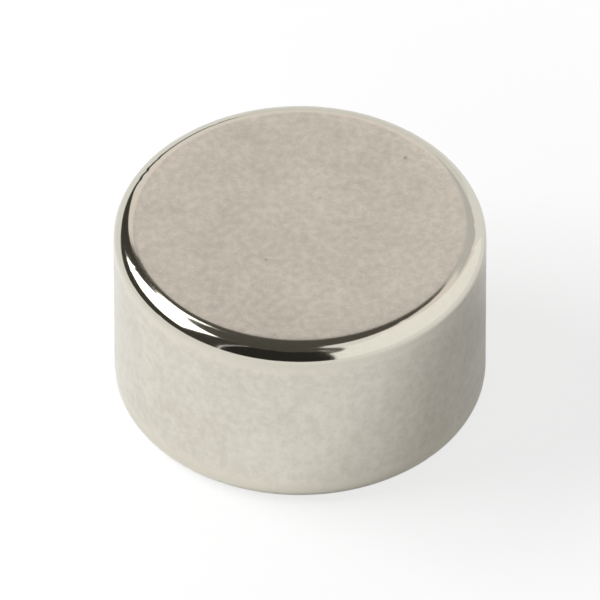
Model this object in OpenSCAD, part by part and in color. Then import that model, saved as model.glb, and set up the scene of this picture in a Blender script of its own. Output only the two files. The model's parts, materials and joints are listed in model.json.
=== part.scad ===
// Disc magnet: one solid disc of sintered magnet material under a thin nickel plate, with
// two flat pole faces, a straight round barrel and a rounded edge where they meet.
// It stands on its lower face. The origin is the centre of that face, and +Z is the disc's axis.

/* [Disc] */
// Outside diameter of the barrel
disc_d = 9; // [6:0.5:20]
// Thickness from pole face to pole face
disc_t = 5; // [3:0.5:10]

/* [Edges] */
// Radius that tumbling leaves on the upper edge
upper_edge_r = 0.45; // [0.1:0.05:1]
// Radius that tumbling leaves on the lower edge
lower_edge_r = 0.45; // [0.1:0.05:1]

/* [Finish] */
// Colour of the nickel plate
nickel = [0.78, 0.74, 0.69]; // [0:0.01:1]

/* [Hidden] */
// Facets to a full turn in the preview
$fn = 180;
// Radius of the barrel
disc_r = disc_d / 2;
// Radii of the flat pole faces, inside their rounded edges
upper_face_r = disc_r - upper_edge_r;
lower_face_r = disc_r - lower_edge_r;
// Height of the barrel's straight wall, between the two rounded edges
barrel_h = disc_t - upper_edge_r - lower_edge_r;

// Half of the disc's section, to the right of its axis: X is the radius and Y is the height
module half_section() {
    // From the lower pole face up to where the upper edge starts to round
    square([lower_face_r, disc_t - upper_edge_r]);
    // Straight wall of the barrel
    translate([0, lower_edge_r])
        square([disc_r, barrel_h]);
    // From where the lower edge stops rounding up to the upper pole face
    translate([0, lower_edge_r])
        square([upper_face_r, disc_t - lower_edge_r]);
    // Lower edge
    translate([lower_face_r, lower_edge_r])
        circle(r = lower_edge_r);
    // Upper edge
    translate([upper_face_r, disc_t - upper_edge_r])
        circle(r = upper_edge_r);
}

// The whole magnet: the half section turned about the axis
module disc_magnet() {
    color(nickel)
        rotate_extrude()
            half_section();
}

disc_magnet();
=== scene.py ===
"""Disc magnet: the finish of a nickel-plated disc magnet, and a plain studio stage for it.

The disc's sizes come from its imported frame. The magnet is one mesh of revolution that holds the
flat pole faces, the rounded edges and the fine relief that tumbling and plating leave on them.
"""

import json
import math
import random
from collections import namedtuple

import bpy
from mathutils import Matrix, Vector, noise


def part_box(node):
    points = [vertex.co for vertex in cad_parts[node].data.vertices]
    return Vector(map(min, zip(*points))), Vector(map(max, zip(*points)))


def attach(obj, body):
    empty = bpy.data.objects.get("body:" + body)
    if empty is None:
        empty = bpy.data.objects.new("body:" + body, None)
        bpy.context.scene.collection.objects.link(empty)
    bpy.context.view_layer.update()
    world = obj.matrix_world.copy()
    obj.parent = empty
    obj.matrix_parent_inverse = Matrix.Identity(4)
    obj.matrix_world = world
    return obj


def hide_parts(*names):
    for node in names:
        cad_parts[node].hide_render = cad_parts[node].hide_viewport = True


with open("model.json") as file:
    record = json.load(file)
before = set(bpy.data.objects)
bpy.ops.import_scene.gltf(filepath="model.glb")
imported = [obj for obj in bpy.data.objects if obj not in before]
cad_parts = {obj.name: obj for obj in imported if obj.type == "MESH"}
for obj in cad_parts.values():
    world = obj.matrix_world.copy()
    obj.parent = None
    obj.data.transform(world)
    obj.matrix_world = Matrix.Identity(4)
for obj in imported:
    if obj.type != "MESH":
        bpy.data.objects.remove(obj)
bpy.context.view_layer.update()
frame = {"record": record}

bl_info = {
    "name": "Disc Magnet",
    "version": (1, 0, 0),
    "blender": (4, 5, 0),
    "location": "3D View > Sidebar > Disc Magnet",
    "description": "Builds a nickel-plated disc magnet and a plain studio stage for it",
    "category": "Object",
}

NODE = "disc_magnet"
SLOT = "nickel_plate"
MM = 0.001
UM = 0.000001
UP = Vector((0, 0, 1))


def mount(name):
    """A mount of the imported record, by its name."""
    return next(m for m in frame["record"]["mounts"] if m["name"] == name)


# The barrel's radius and straight length, and from them the radius of the rounded edges
disc_low, disc_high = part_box(NODE)
barrel_dims = mount("barrel")["dims"]
DISC_DIAMETER = 2 * barrel_dims["r_mm"] * MM
DISC_THICKNESS = disc_high.z - disc_low.z
EDGE_RADIUS = (DISC_THICKNESS - barrel_dims["length_mm"] * MM) / 2


class MagnetShape(bpy.types.PropertyGroup):
    """Sizes of the disc and of the fine relief on its surface"""

    diameter: bpy.props.FloatProperty(
        name="Diameter",
        description="Outside diameter of the barrel",
        default=DISC_DIAMETER,
        min=4 * MM,
        max=30 * MM,
        precision=5,
        unit="LENGTH",
    )
    thickness: bpy.props.FloatProperty(
        name="Thickness",
        description="Distance from pole face to pole face",
        default=DISC_THICKNESS,
        min=1 * MM,
        max=20 * MM,
        precision=5,
        unit="LENGTH",
    )
    edge_radius: bpy.props.FloatProperty(
        name="Edge radius",
        description="Radius of the two rounded edges",
        default=EDGE_RADIUS,
        min=0.1 * MM,
        max=1 * MM,
        precision=5,
        unit="LENGTH",
    )
    roll_off_width: bpy.props.FloatProperty(
        name="Roll-off width",
        description="Width of the outer ring of a pole face that tumbling has worn down",
        default=0.8 * MM,
        min=0.1 * MM,
        max=2 * MM,
        precision=5,
        unit="LENGTH",
    )
    roll_off_depth: bpy.props.FloatProperty(
        name="Roll-off depth",
        description="How far the worn ring has dropped where the rounded edge begins",
        default=26 * UM,
        min=0,
        max=60 * UM,
        precision=7,
        unit="LENGTH",
    )
    segments: bpy.props.IntProperty(
        name="Segments",
        description="Mesh segments round the barrel, best as nine times a power of two",
        default=576,
        min=72,
        max=1152,
    )
    edge_rows: bpy.props.IntProperty(
        name="Edge rows",
        description="Mesh rows across each rounded edge",
        default=14,
        min=4,
        max=24,
    )
    barrel_rows: bpy.props.IntProperty(
        name="Barrel rows",
        description="Mesh rows up the straight wall",
        default=76,
        min=8,
        max=120,
    )
    grain_depth: bpy.props.FloatProperty(
        name="Grain depth",
        description="Depth of the fine grain on the barrel",
        default=3.0 * UM,
        min=0,
        max=20 * UM,
        precision=7,
        unit="LENGTH",
    )
    ripple_depth: bpy.props.FloatProperty(
        name="Ripple depth",
        description="Depth of the shallow ripple on the pole faces",
        default=1.4 * UM,
        min=0,
        max=20 * UM,
        precision=7,
        unit="LENGTH",
    )
    edge_waver: bpy.props.FloatProperty(
        name="Edge waver",
        description="How far the tumbled edges wander from a true round",
        default=7 * UM,
        min=0,
        max=60 * UM,
        precision=7,
        unit="LENGTH",
    )
    dent_count: bpy.props.IntProperty(
        name="Dents",
        description="Small dents round each rounded edge",
        default=34,
        min=0,
        max=80,
    )
    dent_depth: bpy.props.FloatProperty(
        name="Dent depth",
        description="Depth of the deepest dent in a rounded edge",
        default=7 * UM,
        min=0,
        max=60 * UM,
        precision=7,
        unit="LENGTH",
    )


class PlateFinish(bpy.types.PropertyGroup):
    """Colours and gloss of the nickel plate"""

    # Painted light: the faces' colour is set far lighter than the plate's own nickel colour, which
    # the edges carry, so that the faces render bright although they mirror a dim ceiling
    face_colour_lifted_as_painted_light: bpy.props.FloatVectorProperty(
        name="Face colour",
        description="Colour of the plate on the satin pole faces",
        default=(0.870, 0.800, 0.713),
        size=3,
        min=0,
        max=1,
        subtype="COLOR",
    )
    # Painted light: the barrel's colour is set a little lighter than the plate's own nickel colour on
    # the edges, to brighten the wall
    barrel_colour_lifted_as_painted_light: bpy.props.FloatVectorProperty(
        name="Barrel colour",
        description="Colour of the plate on the grained barrel",
        default=(0.722, 0.697, 0.621),
        size=3,
        min=0,
        max=1,
        subtype="COLOR",
    )
    edge_colour: bpy.props.FloatVectorProperty(
        name="Edge colour",
        description="Colour of the plate on the polished, rounded edges",
        default=(0.660, 0.635, 0.550),
        size=3,
        min=0,
        max=1,
        subtype="COLOR",
    )
    dull_colour: bpy.props.FloatVectorProperty(
        name="Dull colour",
        description="Colour of the plate in its faint cloudy patches",
        default=(0.560, 0.524, 0.446),
        size=3,
        min=0,
        max=1,
        subtype="COLOR",
    )
    grazing_tint: bpy.props.FloatVectorProperty(
        name="Grazing tint",
        description="Tint of what the plate mirrors at a very low angle",
        default=(0.91, 0.91, 0.91),
        size=3,
        min=0,
        max=1,
        subtype="COLOR",
    )
    cloud_strength: bpy.props.FloatProperty(
        name="Cloud strength",
        description="How far the plate goes to its dull colour in the cloudy patches",
        default=0.92,
        min=0,
        max=1,
        subtype="FACTOR",
    )
    speck_strength: bpy.props.FloatProperty(
        name="Speck strength",
        description="How much darker the plate is in the few tiny specks",
        default=0.35,
        min=0,
        max=1,
        subtype="FACTOR",
    )
    face_roughness: bpy.props.FloatProperty(
        name="Face roughness",
        description="Roughness of the pole faces",
        default=0.48,
        min=0,
        max=1,
        subtype="FACTOR",
    )
    barrel_roughness: bpy.props.FloatProperty(
        name="Barrel roughness",
        description="Roughness of the straight wall",
        default=0.24,
        min=0,
        max=1,
        subtype="FACTOR",
    )
    edge_roughness: bpy.props.FloatProperty(
        name="Edge roughness",
        description="Roughness of the polished, rounded edges",
        default=0.09,
        min=0,
        max=1,
        subtype="FACTOR",
    )


class StudioStage(bpy.types.PropertyGroup):
    """Camera, floor and light around the magnet

    Azimuth 0 is in front, on the camera's side, 90 degrees is to the right, 180 behind and 270
    to the left.
    """

    camera_elevation: bpy.props.FloatProperty(
        name="Camera elevation",
        description="Angle of the camera's line of sight above the floor",
        default=math.radians(43.5),
        min=0,
        max=math.radians(90),
        subtype="ANGLE",
    )
    camera_distance: bpy.props.FloatProperty(
        name="Camera distance",
        description="Distance from the camera to the middle of the magnet",
        default=0.55,
        min=0.05,
        max=2,
        unit="LENGTH",
    )
    width_in_view: bpy.props.FloatProperty(
        name="Width in view",
        description="Share of the picture's width that the magnet fills",
        default=0.62,
        min=0.1,
        max=0.95,
        subtype="FACTOR",
    )
    floor_colour: bpy.props.FloatVectorProperty(
        name="Floor colour",
        description="Colour of the pale floor",
        default=(0.95, 0.95, 0.95),
        size=3,
        min=0,
        max=1,
        subtype="COLOR",
    )
    ambient: bpy.props.FloatProperty(
        name="Ambient light",
        description="Strength of the soft light that comes from all round",
        default=0.30,
        min=0,
        max=2,
    )
    floor_glow: bpy.props.FloatProperty(
        name="Floor glow",
        description="Share of the floor's look that is white of its own, as on a light table",
        default=0.75,
        min=0,
        max=1,
        subtype="FACTOR",
    )
    mirrored_glow: bpy.props.FloatProperty(
        name="Mirrored glow",
        description="The floor glow's share in what the plate mirrors of the floor",
        default=0.25,
        min=0,
        max=1,
        subtype="FACTOR",
    )
    glow_near: bpy.props.FloatProperty(
        name="Glow near",
        description="Distance from the magnet's middle at which the floor glow starts to grow",
        default=8 * MM,
        min=0,
        max=1,
        precision=4,
        unit="LENGTH",
    )
    glow_far: bpy.props.FloatProperty(
        name="Glow far",
        description="Distance at which the floor is all white glow",
        default=18 * MM,
        min=0,
        max=1,
        precision=4,
        unit="LENGTH",
    )
    key_azimuth: bpy.props.FloatProperty(
        name="Key azimuth",
        description="Direction round the magnet of the soft light on the floor",
        default=math.radians(263),
        min=0,
        max=math.radians(360),
        subtype="ANGLE",
    )
    key_elevation: bpy.props.FloatProperty(
        name="Key elevation",
        description="Height of the soft light above the floor, as an angle",
        default=math.radians(38),
        min=0,
        max=math.radians(90),
        subtype="ANGLE",
    )
    key_width: bpy.props.FloatProperty(
        name="Key width",
        description="Width of the soft light",
        default=0.056,
        min=0.01,
        max=2,
        unit="LENGTH",
    )
    key_height: bpy.props.FloatProperty(
        name="Key height",
        description="Height of the soft light",
        default=0.044,
        min=0.01,
        max=2,
        unit="LENGTH",
    )
    key_distance: bpy.props.FloatProperty(
        name="Key distance",
        description="Distance of the soft light, close enough for its light to fall off",
        default=0.07,
        min=0.03,
        max=3,
        unit="LENGTH",
    )
    key_radiance: bpy.props.FloatProperty(
        name="Key radiance",
        description="Brightness of the soft light, where 1 is a white wall",
        default=8.4,
        min=0,
        max=40,
    )
    window_start: bpy.props.FloatProperty(
        name="Window starts",
        description="Azimuth at which the bright window in the dark side starts",
        default=math.radians(200),
        min=0,
        max=math.radians(720),
        subtype="ANGLE",
    )
    window_end: bpy.props.FloatProperty(
        name="Window ends",
        description="Azimuth at which the bright window in the dark side ends",
        default=math.radians(289),
        min=0,
        max=math.radians(720),
        subtype="ANGLE",
    )
    window_sill: bpy.props.FloatProperty(
        name="Window sill",
        description="Elevation of the bright window's lower edge",
        default=math.radians(26),
        min=0,
        max=math.radians(90),
        subtype="ANGLE",
    )
    window_top: bpy.props.FloatProperty(
        name="Window top",
        description="Elevation of the bright window's upper edge",
        default=math.radians(62),
        min=0,
        max=math.radians(90),
        subtype="ANGLE",
    )
    window_level: bpy.props.FloatProperty(
        name="Window level",
        description="Brightness of the bright window, where 1 is a white wall",
        default=3.1,
        min=0,
        max=10,
    )
    dark_start: bpy.props.FloatProperty(
        name="Dark side starts",
        description="Azimuth at which the dark, unlit side of the studio starts",
        default=math.radians(203),
        min=0,
        max=math.radians(720),
        subtype="ANGLE",
    )
    dark_end: bpy.props.FloatProperty(
        name="Dark side ends",
        description="Azimuth at which the dark, unlit side of the studio ends",
        default=math.radians(379),
        min=0,
        max=math.radians(720),
        subtype="ANGLE",
    )
    studio_tint: bpy.props.FloatVectorProperty(
        name="Studio tint",
        description="Tint of the studio's dark side and of its unlit ceiling",
        default=(1.0, 0.95, 0.82),
        size=3,
        min=0,
        max=1,
        subtype="COLOR",
    )
    dark_left_level: bpy.props.FloatProperty(
        name="Dark left level",
        description="Brightness of the studio's dark side, left of the magnet",
        default=0.06,
        min=0,
        max=1,
        subtype="FACTOR",
    )
    dark_level: bpy.props.FloatProperty(
        name="Dark front level",
        description="Brightness of the studio's dark side, in front of the magnet",
        default=0.03,
        min=0,
        max=1,
        subtype="FACTOR",
    )
    fill_level: bpy.props.FloatProperty(
        name="Fill level",
        description="Brightness of the white wall in front, to the right",
        default=1.15,
        min=0,
        max=2,
    )
    back_level: bpy.props.FloatProperty(
        name="Back level",
        description="Brightness of the wall behind the magnet",
        default=0.90,
        min=0,
        max=1,
        subtype="FACTOR",
    )
    back_tint: bpy.props.FloatVectorProperty(
        name="Back tint",
        description="Warm tint of the upper wall behind the magnet, which the upper face mirrors",
        default=(1.0, 0.93, 0.91),
        size=3,
        min=0,
        max=1,
        subtype="COLOR",
    )
    haze_level: bpy.props.FloatProperty(
        name="Haze level",
        description="Brightness of the grey patch behind the magnet, to the right",
        default=0.66,
        min=0,
        max=1,
        subtype="FACTOR",
    )
    ceiling_level: bpy.props.FloatProperty(
        name="Ceiling level",
        description="Brightness of the studio's unlit ceiling",
        default=0.09,
        min=0,
        max=1,
        subtype="FACTOR",
    )
    ceiling_behind: bpy.props.FloatProperty(
        name="Ceiling behind",
        description="Elevation at which the unlit ceiling starts behind the magnet",
        default=math.radians(47.5),
        min=0,
        max=math.radians(90),
        subtype="ANGLE",
    )
    ceiling_right: bpy.props.FloatProperty(
        name="Ceiling to the right",
        description="Elevation at which the unlit ceiling starts to the right of the magnet",
        default=math.radians(84),
        min=0,
        max=math.radians(90),
        subtype="ANGLE",
    )


# Mesh ----------------------------------------------------------------------------------------

# Rings of a pole face: their spacing, and the spacing round a ring, as a share of it, below
# which the next ring has half as many segments
FACE_STEP = 0.12 * MM
CROWDED_SHARE = 0.6
FEWEST_SEGMENTS = 9
ROLL_OFF_STEPS = 14
# How far in from the rounded edge the polish fades out, on the flat and on the wall
FACE_FADE = 0.10 * MM
WALL_FADE = 0.40 * MM
# Layers of noise: the size of the bumps, and their share of the depth
GRAIN_LAYERS = ((0.21 * MM, 1.0), (0.11 * MM, 0.55))
RIPPLE_LAYERS = ((1.3 * MM, 1.0), (0.42 * MM, 0.35))
WAVER_LAYERS = ((3.6 * MM, 1.0), (0.9 * MM, 0.36), (0.35 * MM, 0.10))
# Dents: their seed, how far down the rounded edge they lie (0 at the barrel and 1 at the face),
# their reach, their depth as a share of the deepest, and the end of their pull, in reaches
DENT_SEED = 7
DENT_PLACES = (0.05, 0.85)
DENT_REACHES = (0.05 * MM, 0.11 * MM)
DENT_SHARES = (0.3, 1.0)
DENT_SPREAD = 3


def layered_noise(point, layers):
    """Smooth noise made of several layers, from about -1 to 1."""
    return sum(share * noise.noise(point / size) for size, share in layers)


def smooth_step(value):
    """0 below 0, 1 above 1, and a smooth rise between them."""
    value = min(max(value, 0.0), 1.0)
    return value * value * (3 - 2 * value)


def face_rings(shape):
    """Radii and segment counts of the rings on a pole face, from its rim inwards."""
    radius = shape.diameter / 2 - shape.edge_radius
    count = shape.segments
    fine_step = shape.roll_off_width / ROLL_OFF_STEPS
    rings = []
    for _ in range(ROLL_OFF_STEPS):
        radius -= fine_step
        rings.append((radius, count))
    while radius > 2 * FACE_STEP:
        radius -= FACE_STEP
        crowded = 2 * math.pi * radius / count < CROWDED_SHARE * FACE_STEP
        if crowded and count % 2 == 0 and count > FEWEST_SEGMENTS:
            count //= 2
        rings.append((radius, count))
    return rings


def roll_off(shape, along):
    """How far the worn ring has dropped, at a distance along the section from where it begins.

    The drop grows ever faster up to the rounded edge, and fades out across that edge.
    """
    width, depth = shape.roll_off_width, shape.roll_off_depth
    if along <= width:
        return depth * max(0.0, along / width) ** 2
    edge_length = shape.edge_radius * math.pi / 2
    share = (along - width) / edge_length
    slope = 2 * depth / width
    carried = (1 + 2 * share) * depth + share * slope * edge_length
    return carried * (1 - share) ** 2


# One ring of the mesh. facing is the angle above the horizontal at which the surface faces,
# polish is 1 on the rounded edges, grain is 1 on the barrel, and drop is the worn ring's.
Ring = namedtuple("Ring", "radius height facing count polish grain drop")


def section_rings(shape):
    """Every ring of the disc, from the lower face's middle to the upper face's middle."""
    radius, top, round_r = shape.diameter / 2, shape.thickness, shape.edge_radius
    face_r = radius - round_r
    wall = top - 2 * round_r
    quarter = math.pi / 2
    worn_r = face_r - shape.roll_off_width
    lower, upper = [], []
    for r, count in face_rings(shape):
        polish = smooth_step(1 - (face_r - r) / FACE_FADE)
        drop = roll_off(shape, r - worn_r)
        lower.insert(0, Ring(r, 0.0, -quarter, count, polish, 0.0, drop))
        upper.append(Ring(r, top, quarter, count, polish, 0.0, drop))
    edges = []
    for height, start in ((round_r, -quarter), (top - round_r, 0.0)):
        edge = []
        for i in range(shape.edge_rows + 1):
            facing = start + quarter * i / shape.edge_rows
            out = face_r + round_r * math.cos(facing)
            up = height + round_r * math.sin(facing)
            drop = roll_off(shape, shape.roll_off_width + round_r * (quarter - abs(facing)))
            edge.append(Ring(out, up, facing, shape.segments, 1.0, 0.0, drop))
        edges.append(edge)
    barrel = []
    for i in range(1, shape.barrel_rows):
        rise = wall * i / shape.barrel_rows
        polish = smooth_step(1 - min(rise, wall - rise) / WALL_FADE)
        barrel.append(Ring(radius, round_r + rise, 0.0, shape.segments, polish, 1 - polish, 0.0))
    return lower + edges[0] + barrel + edges[1] + upper


def relief(shape, point, ring):
    """How deep the surface lies under the true solid at a point of a ring."""
    satin = 1 - ring.polish - ring.grain
    depth = ring.drop + ring.polish * shape.edge_waver * layered_noise(point, WAVER_LAYERS)
    if ring.grain:
        depth += ring.grain * shape.grain_depth * layered_noise(point, GRAIN_LAYERS)
    if satin > 0:
        depth += satin * shape.ripple_depth * layered_noise(point, RIPPLE_LAYERS)
    return depth


def scatter_dents(shape):
    """Small dents round both edges: (middle, way in, reach, depth)."""
    scatter = random.Random(DENT_SEED)
    face_r = shape.diameter / 2 - shape.edge_radius
    half = shape.thickness / 2
    dents = []
    for side in (-1, 1):
        for _ in range(shape.dent_count):
            around = scatter.uniform(0, 2 * math.pi)
            facing = side * scatter.uniform(*DENT_PLACES) * math.pi / 2
            reach = scatter.uniform(*DENT_REACHES)
            depth = scatter.uniform(*DENT_SHARES) * shape.dent_depth
            outward = Vector((math.cos(around), math.sin(around), 0))
            way_out = outward * math.cos(facing) + UP * math.sin(facing)
            centre = outward * face_r + UP * (half + side * (half - shape.edge_radius))
            dents.append((centre + way_out * shape.edge_radius, -way_out, reach, depth))
    return dents


def press_dents(points, dents):
    """Presses the dents into the points that lie near them."""
    for middle, way_in, reach, depth in dents:
        for k, point in enumerate(points):
            gap = (point - middle).length
            if gap < DENT_SPREAD * reach:
                points[k] = point + way_in * depth * math.exp(-((gap / reach) ** 2))


def stitch(start, n, after, m):
    """Faces between a ring of n points and the next ring of m points, where n and m are equal
    or one is twice the other."""
    faces = []
    if n == m:
        for i in range(n):
            j = (i + 1) % n
            faces.append((start + i, start + j, after + j, after + i))
    elif n * 2 == m:
        for i in range(n):
            j = (i + 1) % n
            a, b, c = 2 * i, 2 * i + 1, (2 * i + 2) % m
            faces.append((start + i, after + b, after + a))
            faces.append((start + i, start + j, after + c, after + b))
    else:
        for i in range(m):
            j = (i + 1) % m
            a, b, c = 2 * i, 2 * i + 1, (2 * i + 2) % n
            faces.append((start + a, start + b, after + i))
            faces.append((start + b, start + c, after + j, after + i))
    return faces


def build_disc_mesh(shape):
    """The disc as one closed mesh of revolution, with its relief and its zones."""
    rings = section_rings(shape)
    points, polish_values, grain_values, starts = [], [], [], []
    for ring in rings:
        starts.append(len(points))
        for i in range(ring.count):
            turn = 2 * math.pi * i / ring.count
            outward = Vector((math.cos(turn), math.sin(turn), 0))
            point = outward * ring.radius + UP * ring.height
            normal = outward * math.cos(ring.facing) + UP * math.sin(ring.facing)
            points.append(point - normal * relief(shape, point, ring))
            polish_values.append(ring.polish)
            grain_values.append(ring.grain)
    press_dents(points, scatter_dents(shape))
    counts = [ring.count for ring in rings]
    faces = []
    for k in range(len(rings) - 1):
        faces += stitch(starts[k], counts[k], starts[k + 1], counts[k + 1])
    # A fan closes each face at its middle
    for start, count, height, upper in (
        (starts[0], counts[0], 0.0, False),
        (starts[-1], counts[-1], shape.thickness, True),
    ):
        middle = len(points)
        points.append(UP * height)
        polish_values.append(0.0)
        grain_values.append(0.0)
        for i in range(count):
            a, b = start + i, start + (i + 1) % count
            faces.append((a, b, middle) if upper else (b, a, middle))
    mesh = bpy.data.meshes.new(NODE)
    mesh.from_pydata(points, [], faces)
    mesh.polygons.foreach_set("use_smooth", [True] * len(faces))
    for name, values in (("edge_polish", polish_values), ("barrel_grain", grain_values)):
        mesh.attributes.new(name, "FLOAT", "POINT").data.foreach_set("value", values)
    mesh.update()
    return mesh


# Material --------------------------------------------------------------------------------------

# Sizes of the plate's textures, as features to the millimetre
BROAD_CLOUDS_PER_MM = 0.38
CLOUDS_PER_MM = 1.3
FLECKS_PER_MM = 5.0
SPECKS_PER_MM = 1.1
GRIT_PER_MM = 16.0
# Noise at which each texture starts and ends its turn from clean to dull
BROAD_CLOUD_RANGE = (0.35, 0.65)
CLOUD_RANGE = (0.28, 0.72)
FLECK_RANGE = (0.34, 0.66)
GRIT_RANGE = (0.34, 0.66)
# Distance from a speck's middle, as a share of a cell, at which the speck starts and is full
SPECK_RANGE = (0.08, 0.03)
# Shares of the textures in the dulling: grit among the fine ones, the fine ones among the
# clouds, and the broad clouds among them all, on the barrel and on the faces
GRIT_SHARE = 0.40
FINE_SHARE = 0.70
BARREL_BROAD_SHARE = 0.10
FACE_BROAD_SHARE = 0.20
# Share of the dulling that is left on the polished edges
EDGE_DULLING = 0.35
# How far the clouds change the roughness, each way
CLOUD_GLOSS = 0.03
GRIT_HEIGHT = 3 * UM
# Hairline scratches: their width and length in millimetres, the ways they run as angles, how
# far apart the noise is read for each way, the noise that is a scratch, and its added gloss
SCRATCH_WIDTH = 0.055
SCRATCH_LENGTH = 2.6
SCRATCH_TURNS = (0.35, 1.20, 2.05, 2.75)
SCRATCH_SHIFT = 7
SCRATCH_RANGE = (0.68, 0.78)
SCRATCH_GLOSS = 0.08


def connect(tree, socket, value):
    """Links a socket to another node's output, or sets it to a plain value."""
    if isinstance(value, bpy.types.NodeSocket):
        tree.links.new(value, socket)
    else:
        socket.default_value = value


def maths(tree, operation, a, b=0.0):
    """The output of one Math node."""
    node = tree.nodes.new("ShaderNodeMath")
    node.operation = operation
    connect(tree, node.inputs[0], a)
    connect(tree, node.inputs[1], b)
    return node.outputs[0]


def ramp(tree, value, low, high, to_low=0.0, to_high=1.0):
    """The output of one Map Range node, clamped."""
    node = tree.nodes.new("ShaderNodeMapRange")
    connect(tree, node.inputs["Value"], value)
    connect(tree, node.inputs["From Min"], low)
    connect(tree, node.inputs["From Max"], high)
    connect(tree, node.inputs["To Min"], to_low)
    connect(tree, node.inputs["To Max"], to_high)
    return node.outputs["Result"]


def mix_values(tree, share, a, b):
    """a where the share is 0 and b where it is 1."""
    node = tree.nodes.new("ShaderNodeMix")
    connect(tree, node.inputs["Factor"], share)
    connect(tree, node.inputs["A"], a)
    connect(tree, node.inputs["B"], b)
    return node.outputs["Result"]


def mix_colours(tree, share, a, b):
    """Colour a where the share is 0 and colour b where it is 1.

    The Mix node's colour sockets share their names with others, so they go by number here.
    """
    node = tree.nodes.new("ShaderNodeMix")
    node.data_type = "RGBA"
    connect(tree, node.inputs[0], share)
    connect(tree, node.inputs[6], a)
    connect(tree, node.inputs[7], b)
    return node.outputs[2]


def mesh_value(tree, name):
    """The value of a mesh attribute."""
    node = tree.nodes.new("ShaderNodeAttribute")
    node.attribute_name = name
    return node.outputs["Fac"]


def millimetres(tree):
    """Places on the object, in millimetres."""
    place = tree.nodes.new("ShaderNodeTexCoord").outputs["Object"]
    scaled = tree.nodes.new("ShaderNodeVectorMath")
    scaled.operation = "SCALE"
    tree.links.new(place, scaled.inputs[0])
    scaled.inputs["Scale"].default_value = 1 / MM
    return scaled.outputs[0]


def noise_texture(tree, place, per_mm, detail=2.0, roughness=0.5):
    """Noise of so many features to the millimetre, from 0 to 1 and mostly near a half."""
    node = tree.nodes.new("ShaderNodeTexNoise")
    tree.links.new(place, node.inputs["Vector"])
    node.inputs["Scale"].default_value = per_mm
    node.inputs["Detail"].default_value = detail
    node.inputs["Roughness"].default_value = roughness
    return node.outputs["Fac"]


def specks(tree, place):
    """1 in a few tiny specks and 0 elsewhere."""
    node = tree.nodes.new("ShaderNodeTexVoronoi")
    tree.links.new(place, node.inputs["Vector"])
    node.inputs["Scale"].default_value = SPECKS_PER_MM
    return ramp(tree, node.outputs["Distance"], *SPECK_RANGE)


def hairlines(tree, place):
    """1 along a few faint scratches in different directions, and 0 elsewhere."""
    lines = 0.0
    for turn in SCRATCH_TURNS:
        mapping = tree.nodes.new("ShaderNodeMapping")
        mapping.vector_type = "TEXTURE"
        mapping.inputs["Rotation"].default_value = (0, 0, turn)
        mapping.inputs["Scale"].default_value = (SCRATCH_WIDTH, SCRATCH_LENGTH, 1)
        mapping.inputs["Location"].default_value = (0, 0, SCRATCH_SHIFT * turn)
        tree.links.new(place, mapping.inputs["Vector"])
        stretched = noise_texture(tree, mapping.outputs["Vector"], per_mm=1.0, detail=1.0)
        lines = maths(tree, "MAXIMUM", lines, ramp(tree, stretched, *SCRATCH_RANGE))
    return lines


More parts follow.
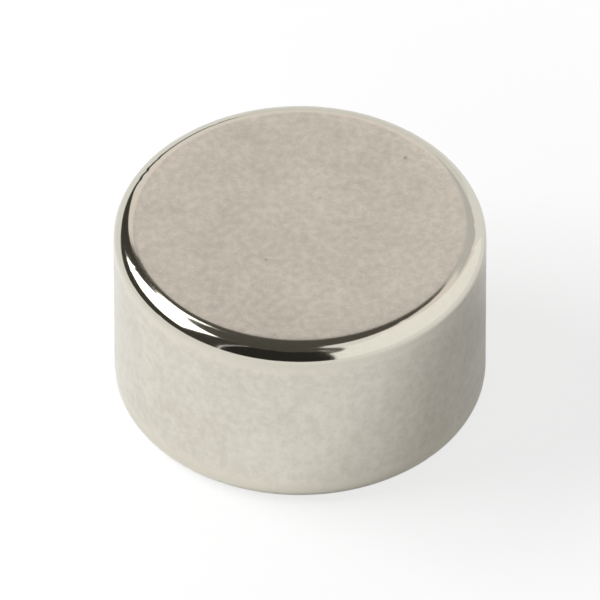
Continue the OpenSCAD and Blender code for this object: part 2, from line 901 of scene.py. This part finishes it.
def nickel_plate(finish):
    """Nickel plate: clouded satin on the faces, fine grain on the barrel, polish on the edges.

    The faces and the barrel take colours lifted above the plate's own nickel colour, as painted
    light.
    """
    material = bpy.data.materials.new(SLOT)
    material.use_nodes = True
    tree = material.node_tree
    plate = tree.nodes["Principled BSDF"]
    plate.inputs["Metallic"].default_value = 1.0

    place = millimetres(tree)
    polish = mesh_value(tree, "edge_polish")
    grain = mesh_value(tree, "barrel_grain")
    satin = maths(tree, "SUBTRACT", maths(tree, "SUBTRACT", 1.0, polish), grain)

    broad = ramp(tree, noise_texture(tree, place, BROAD_CLOUDS_PER_MM), *BROAD_CLOUD_RANGE)
    cloud_noise = noise_texture(tree, place, CLOUDS_PER_MM, detail=3.0, roughness=0.55)
    clouds = ramp(tree, cloud_noise, *CLOUD_RANGE)
    flecks = ramp(tree, noise_texture(tree, place, FLECKS_PER_MM), *FLECK_RANGE)
    grit = noise_texture(tree, place, GRIT_PER_MM, detail=3.0, roughness=0.65)
    fine = mix_values(tree, GRIT_SHARE, flecks, ramp(tree, grit, *GRIT_RANGE))
    patchy = mix_values(tree, FINE_SHARE, clouds, fine)
    broad_share = mix_values(tree, satin, BARREL_BROAD_SHARE, FACE_BROAD_SHARE)
    patchy = mix_values(tree, broad_share, patchy, broad)
    dulling = maths(tree, "MULTIPLY", patchy, finish.cloud_strength)
    dulling = maths(tree, "MULTIPLY", dulling, mix_values(tree, polish, 1.0, EDGE_DULLING))
    scratches = maths(tree, "MULTIPLY", hairlines(tree, place), satin)
    speck = maths(tree, "MULTIPLY", specks(tree, place), finish.speck_strength)
    speck = maths(tree, "MULTIPLY", speck, satin)

    # Painted light: the faces and the barrel take colours lifted above the edges' own nickel colour
    clean = mix_colours(tree, grain, (*finish.face_colour_lifted_as_painted_light, 1), (*finish.barrel_colour_lifted_as_painted_light, 1))
    clean = mix_colours(tree, polish, clean, (*finish.edge_colour, 1))
    colour = mix_colours(tree, dulling, clean, (*finish.dull_colour, 1))
    colour = mix_colours(tree, maths(tree, "MULTIPLY", speck, flecks), colour, (0, 0, 0, 1))
    tree.links.new(colour, plate.inputs["Base Color"])
    plate.inputs["Specular Tint"].default_value = (*finish.grazing_tint, 1)

    rough = mix_values(tree, grain, finish.face_roughness, finish.barrel_roughness)
    rough = maths(tree, "ADD", rough, ramp(tree, clouds, 0.0, 1.0, -CLOUD_GLOSS, CLOUD_GLOSS))
    rough = maths(tree, "SUBTRACT", rough, maths(tree, "MULTIPLY", scratches, SCRATCH_GLOSS))
    rough = mix_values(tree, polish, rough, finish.edge_roughness)
    tree.links.new(rough, plate.inputs["Roughness"])

    height = maths(tree, "MULTIPLY", grit, maths(tree, "SUBTRACT", 1.0, polish))
    bump = tree.nodes.new("ShaderNodeBump")
    bump.inputs["Distance"].default_value = GRIT_HEIGHT
    tree.links.new(height, bump.inputs["Height"])
    tree.links.new(bump.outputs["Normal"], plate.inputs["Normal"])
    return material


# Stage -------------------------------------------------------------------------------------------

# The studio's parts lie on three spheres, so that each hides what is behind it
SURROUND_RADIUS = 1.0
WINDOW_RADIUS = 0.97
OUTER_RADIUS = 1.03
SURROUND_STEPS = 36
FLOOR_HALF = 3.0
CLIP_NEAR = 1 * MM
CLIP_FAR = 10.0
# The floor lies this far below the magnet's lowest point, so that the two never touch
FLOOR_GAP = 5 * UM
FULL_TURN = math.radians(360)
BACK = math.radians(180)
ZENITH = math.radians(90)
# The dark side: the top of its walls, the corner with its slit of light, its foot and its tail
WALL_TOP = math.radians(63)
CORNER = math.radians(315)
CORNER_SLIT = math.radians(1.2)
FOOT_RISE = math.radians(15)
FOOT_START = math.radians(218)
FOOT_SPAN = math.radians(35)
TAIL_END = math.radians(185)
TAIL_TOP = math.radians(24)
TAIL_SLOPE = 0.25
# The slot at the window's start
SLOT_RISE = math.radians(27)
SLOT_END = math.radians(222)
SLOT_SPAN = math.radians(10)
# The ceiling's edge: its climb to the right, its dip in front and its fall to the left
CLIMB_START = math.radians(168)
CLIMB_SLOPE = 0.85
DIP = math.radians(40)
DIP_SPAN = math.radians(35)
LEFT_SLOPE = 0.2
# The white wall in front to the right, the wall behind, and above it the grey patch and the
# warm wall
FILL_END = math.radians(133)
FILL_TOP = math.radians(70)
BACK_START = math.radians(155)
HAZE_START = math.radians(142)
HAZE_END = math.radians(170)
HAZE_FOOT = math.radians(30)
WARM_TOP = math.radians(75)


def direction(azimuth, elevation):
    """The way from the magnet to a place round it. See StudioStage for the azimuth."""
    return Vector(
        (
            math.sin(azimuth) * math.cos(elevation),
            -math.cos(azimuth) * math.cos(elevation),
            math.sin(elevation),
        )
    )


def link(obj):
    """Puts an object into the scene."""
    bpy.context.scene.collection.objects.link(obj)
    return obj


def soft_light(stage):
    """The rectangular lamp that lights the floor. The plate mirrors the bright window instead."""
    lamp = bpy.data.lights.new("key_light", "AREA")
    lamp.shape = "RECTANGLE"
    lamp.size, lamp.size_y = stage.key_width, stage.key_height
    lamp.energy = stage.key_radiance * math.pi * stage.key_width * stage.key_height
    holder = link(bpy.data.objects.new("key_light", lamp))
    away = direction(stage.key_azimuth, stage.key_elevation)
    holder.location = away * stage.key_distance
    holder.rotation_euler = away.to_track_quat("Z", "Y").to_euler()
    holder.visible_camera = False
    holder.visible_glossy = False


def glow_material(name, colour, level):
    """An even surface that needs no light."""
    material = bpy.data.materials.new(name)
    material.use_nodes = True
    tree = material.node_tree
    tree.nodes.clear()
    glow = tree.nodes.new("ShaderNodeEmission")
    glow.inputs["Color"].default_value = (*colour, 1)
    glow.inputs["Strength"].default_value = level
    out = tree.nodes.new("ShaderNodeOutputMaterial")
    tree.links.new(glow.outputs[0], out.inputs["Surface"])
    return material


def surround(name, start, end, low, high, material, radius):
    """A part of the studio round the magnet, between two azimuths.

    Its lower edge is an elevation, or a function that gives one for each azimuth. It shows only
    in the plate's reflections: it casts no shadow and the camera looks past it.
    """
    points, faces = [], []
    for j in range(SURROUND_STEPS + 1):
        for i in range(SURROUND_STEPS + 1):
            azimuth = start + (end - start) * i / SURROUND_STEPS
            lower = low(azimuth) if callable(low) else low
            elevation = lower + (high - lower) * j / SURROUND_STEPS
            points.append(direction(azimuth, elevation) * radius)
    row = SURROUND_STEPS + 1
    for j in range(SURROUND_STEPS):
        for i in range(SURROUND_STEPS):
            a = j * row + i
            faces.append((a, a + 1, a + row + 1, a + row))
    mesh = bpy.data.meshes.new(name)
    mesh.from_pydata(points, [], faces)
    mesh.materials.append(material)
    card = link(bpy.data.objects.new(name, mesh))
    card.visible_camera = False
    card.visible_diffuse = False
    card.visible_shadow = False
    card.visible_transmission = False


def make_studio(stage):
    """The studio that the plate mirrors: a dark side with a window, an unlit ceiling, white walls."""
    start, end, behind = stage.dark_start, stage.dark_end, stage.ceiling_behind
    right = end - FULL_TURN

    def wall_foot(azimuth):
        """The dark side stands clear of the floor where it starts."""
        return FOOT_RISE * (1 - smooth_step((azimuth - FOOT_START) / FOOT_SPAN))

    def tail_foot(azimuth):
        """Behind the magnet the dark side tapers off to a thin tail."""
        return FOOT_RISE + (start - azimuth) * TAIL_SLOPE

    def sill(azimuth):
        """The window narrows to a slot where it starts."""
        return stage.window_sill + SLOT_RISE * (1 - smooth_step((azimuth - SLOT_END) / SLOT_SPAN))

    def ceiling_right_edge(azimuth):
        """The ceiling's edge climbs from behind the magnet to its right, and dips in front."""
        climb = min(behind + max(0, CLIMB_START - azimuth) * CLIMB_SLOPE, stage.ceiling_right)
        return climb - DIP * (1 - smooth_step((azimuth - right) / DIP_SPAN))

    def ceiling_left_edge(azimuth):
        """It falls a little to the left."""
        return behind - (azimuth - BACK) * LEFT_SLOPE

    def card(name, colour, level, first, last, low, high, radius=SURROUND_RADIUS):
        """One even part of the studio, with a glow of its own."""
        surround(name, first, last, low, high, glow_material(name, colour, level), radius)

    tint, warm, white = stage.studio_tint, stage.back_tint, (1, 1, 1)
    dusk, night, ceiling = stage.dark_left_level, stage.dark_level, stage.ceiling_level
    card("dark_left", tint, dusk, start, CORNER, wall_foot, WALL_TOP)
    card("dark_tail", tint, dusk, TAIL_END, start, tail_foot, TAIL_TOP)
    card("dark_front", tint, night, CORNER + CORNER_SLIT, end, 0, WALL_TOP)
    card("ceiling_front", tint, ceiling, start, end, WALL_TOP, ZENITH)
    card("ceiling_left", tint, ceiling, BACK, start, ceiling_left_edge, ZENITH)
    card("ceiling_right", tint, ceiling, right, BACK, ceiling_right_edge, ZENITH)
    card("fill", white, stage.fill_level, right, FILL_END, 0, FILL_TOP)
    card("back_wall", white, stage.back_level, BACK_START, TAIL_END, 0, HAZE_FOOT)
    card("warm_wall", warm, 1.0, FILL_END, start, HAZE_FOOT, WARM_TOP, OUTER_RADIUS)
    card("haze", white, stage.haze_level, HAZE_START, HAZE_END, HAZE_FOOT, behind, WINDOW_RADIUS)
    first, last, top = stage.window_start, stage.window_end, stage.window_top
    card("bright_window", white, stage.window_level, first, last, sill, top, WINDOW_RADIUS)


def make_floor(stage):
    """The pale, matt floor that the magnet stands on. Away from the magnet it turns to white."""
    material = bpy.data.materials.new("pale_floor")
    material.use_nodes = True
    tree = material.node_tree
    matt = tree.nodes["Principled BSDF"]
    matt.inputs["Base Color"].default_value = (*stage.floor_colour, 1)
    matt.inputs["Roughness"].default_value = 1.0
    matt.inputs["Specular IOR Level"].default_value = 0.0
    white = tree.nodes.new("ShaderNodeEmission")
    white.inputs["Strength"].default_value = 1.0
    away = tree.nodes.new("ShaderNodeVectorMath")
    away.operation = "LENGTH"
    tree.links.new(tree.nodes.new("ShaderNodeNewGeometry").outputs["Position"], away.inputs[0])
    far = ramp(tree, away.outputs["Value"], stage.glow_near, stage.glow_far)
    path = tree.nodes.new("ShaderNodeLightPath")
    direct = maths(
        tree, "MAXIMUM", path.outputs["Is Camera Ray"], path.outputs["Is Transmission Ray"]
    )
    shown = maths(tree, "MULTIPLY", direct, mix_values(tree, far, stage.floor_glow, 1.0))
    mirrored = mix_values(tree, far, stage.mirrored_glow, 1.0)
    mirrored = maths(tree, "MULTIPLY", path.outputs["Is Glossy Ray"], mirrored)
    blend = tree.nodes.new("ShaderNodeMixShader")
    tree.links.new(maths(tree, "MAXIMUM", shown, mirrored), blend.inputs[0])
    tree.links.new(matt.outputs[0], blend.inputs[1])
    tree.links.new(white.outputs[0], blend.inputs[2])
    tree.links.new(blend.outputs[0], tree.nodes["Material Output"].inputs["Surface"])
    mesh = bpy.data.meshes.new("floor")
    half = FLOOR_HALF
    corners = [(-half, -half, 0), (half, -half, 0), (half, half, 0), (-half, half, 0)]
    mesh.from_pydata(corners, [], [(0, 1, 2, 3)])
    mesh.materials.append(material)
    floor = link(bpy.data.objects.new("floor", mesh))
    floor.location.z = -FLOOR_GAP


def make_world(ambient):
    """A white surround that the camera and the plate see, and a plain soft light all round."""
    world = bpy.data.worlds.new("studio")
    world.use_nodes = True
    bpy.context.scene.world = world
    tree = world.node_tree
    tree.nodes.clear()
    path = tree.nodes.new("ShaderNodeLightPath")
    seen = maths(tree, "MAXIMUM", path.outputs["Is Camera Ray"], path.outputs["Is Glossy Ray"])
    seen = maths(tree, "MAXIMUM", seen, path.outputs["Is Transmission Ray"])
    sky = tree.nodes.new("ShaderNodeBackground")
    sky.inputs["Color"].default_value = (1, 1, 1, 1)
    tree.links.new(mix_values(tree, seen, ambient, 1.0), sky.inputs["Strength"])
    out = tree.nodes.new("ShaderNodeOutputWorld")
    tree.links.new(sky.outputs[0], out.inputs["Surface"])


def make_camera(stage, shape):
    """The camera, far off with a long lens, aimed at the magnet's middle."""
    data = bpy.data.cameras.new("camera")
    data.lens = data.sensor_width * stage.camera_distance * stage.width_in_view / shape.diameter
    data.clip_start = CLIP_NEAR
    data.clip_end = CLIP_FAR
    camera = link(bpy.data.objects.new("camera", data))
    away = direction(0, stage.camera_elevation)
    camera.location = UP * shape.thickness / 2 + away * stage.camera_distance
    camera.rotation_euler = away.to_track_quat("Z", "Y").to_euler()
    bpy.context.scene.camera = camera


class DISCMAGNET_OT_disc(bpy.types.Operator):
    """Build the nickel-plated disc in place of its plain CAD solid"""

    bl_idname = "disc_magnet.disc"
    bl_label = "Build disc"

    def execute(self, context):
        scene = context.scene
        shape = scene.magnet_shape
        if 2 * shape.edge_radius >= shape.thickness:
            raise ValueError("The rounded edges leave no straight wall. Make them smaller.")
        if shape.edge_radius + shape.roll_off_width >= shape.diameter / 2:
            raise ValueError("The rounded, worn edges leave no flat face. Make them narrower.")
        piece = link(bpy.data.objects.new("plated_disc", build_disc_mesh(shape)))
        piece.data.materials.append(nickel_plate(scene.plate_finish))
        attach(piece, "root")
        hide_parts(NODE)
        return {"FINISHED"}


class DISCMAGNET_OT_stage(bpy.types.Operator):
    """Set the floor, the light and the camera round the disc"""

    bl_idname = "disc_magnet.stage"
    bl_label = "Set stage"

    def execute(self, context):
        scene = context.scene
        stage = scene.studio_stage
        scene.view_settings.view_transform = "Standard"
        make_floor(stage)
        make_world(stage.ambient)
        soft_light(stage)
        make_studio(stage)
        make_camera(stage, scene.magnet_shape)
        return {"FINISHED"}


class DISCMAGNET_PT_panel(bpy.types.Panel):
    """Sizes, finish and stage of the disc magnet"""

    bl_label = "Disc Magnet"
    bl_idname = "DISCMAGNET_PT_panel"
    bl_space_type = "VIEW_3D"
    bl_region_type = "UI"
    bl_category = "Disc Magnet"

    def draw(self, context):
        scene = context.scene
        for group in (scene.magnet_shape, scene.plate_finish, scene.studio_stage):
            box = self.layout.box()
            for name in group.__annotations__:
                box.prop(group, name)
        for operator in OPERATORS:
            self.layout.operator(operator.bl_idname)


GROUPS = (
    ("magnet_shape", MagnetShape),
    ("plate_finish", PlateFinish),
    ("studio_stage", StudioStage),
)
OPERATORS = (DISCMAGNET_OT_disc, DISCMAGNET_OT_stage)


def register():
    """Registers the properties, the operators and the panel."""
    for name, group in GROUPS:
        bpy.utils.register_class(group)
        setattr(bpy.types.Scene, name, bpy.props.PointerProperty(type=group))
    for cls in (*OPERATORS, DISCMAGNET_PT_panel):
        bpy.utils.register_class(cls)


def unregister():
    """Takes away all that register() added."""
    for cls in reversed((*OPERATORS, DISCMAGNET_PT_panel)):
        bpy.utils.unregister_class(cls)
    for name, group in reversed(GROUPS):
        delattr(bpy.types.Scene, name)
        bpy.utils.unregister_class(group)


def main():
    register()
    bpy.ops.disc_magnet.disc()
    bpy.ops.disc_magnet.stage()


if __name__ == "__main__":
    main()
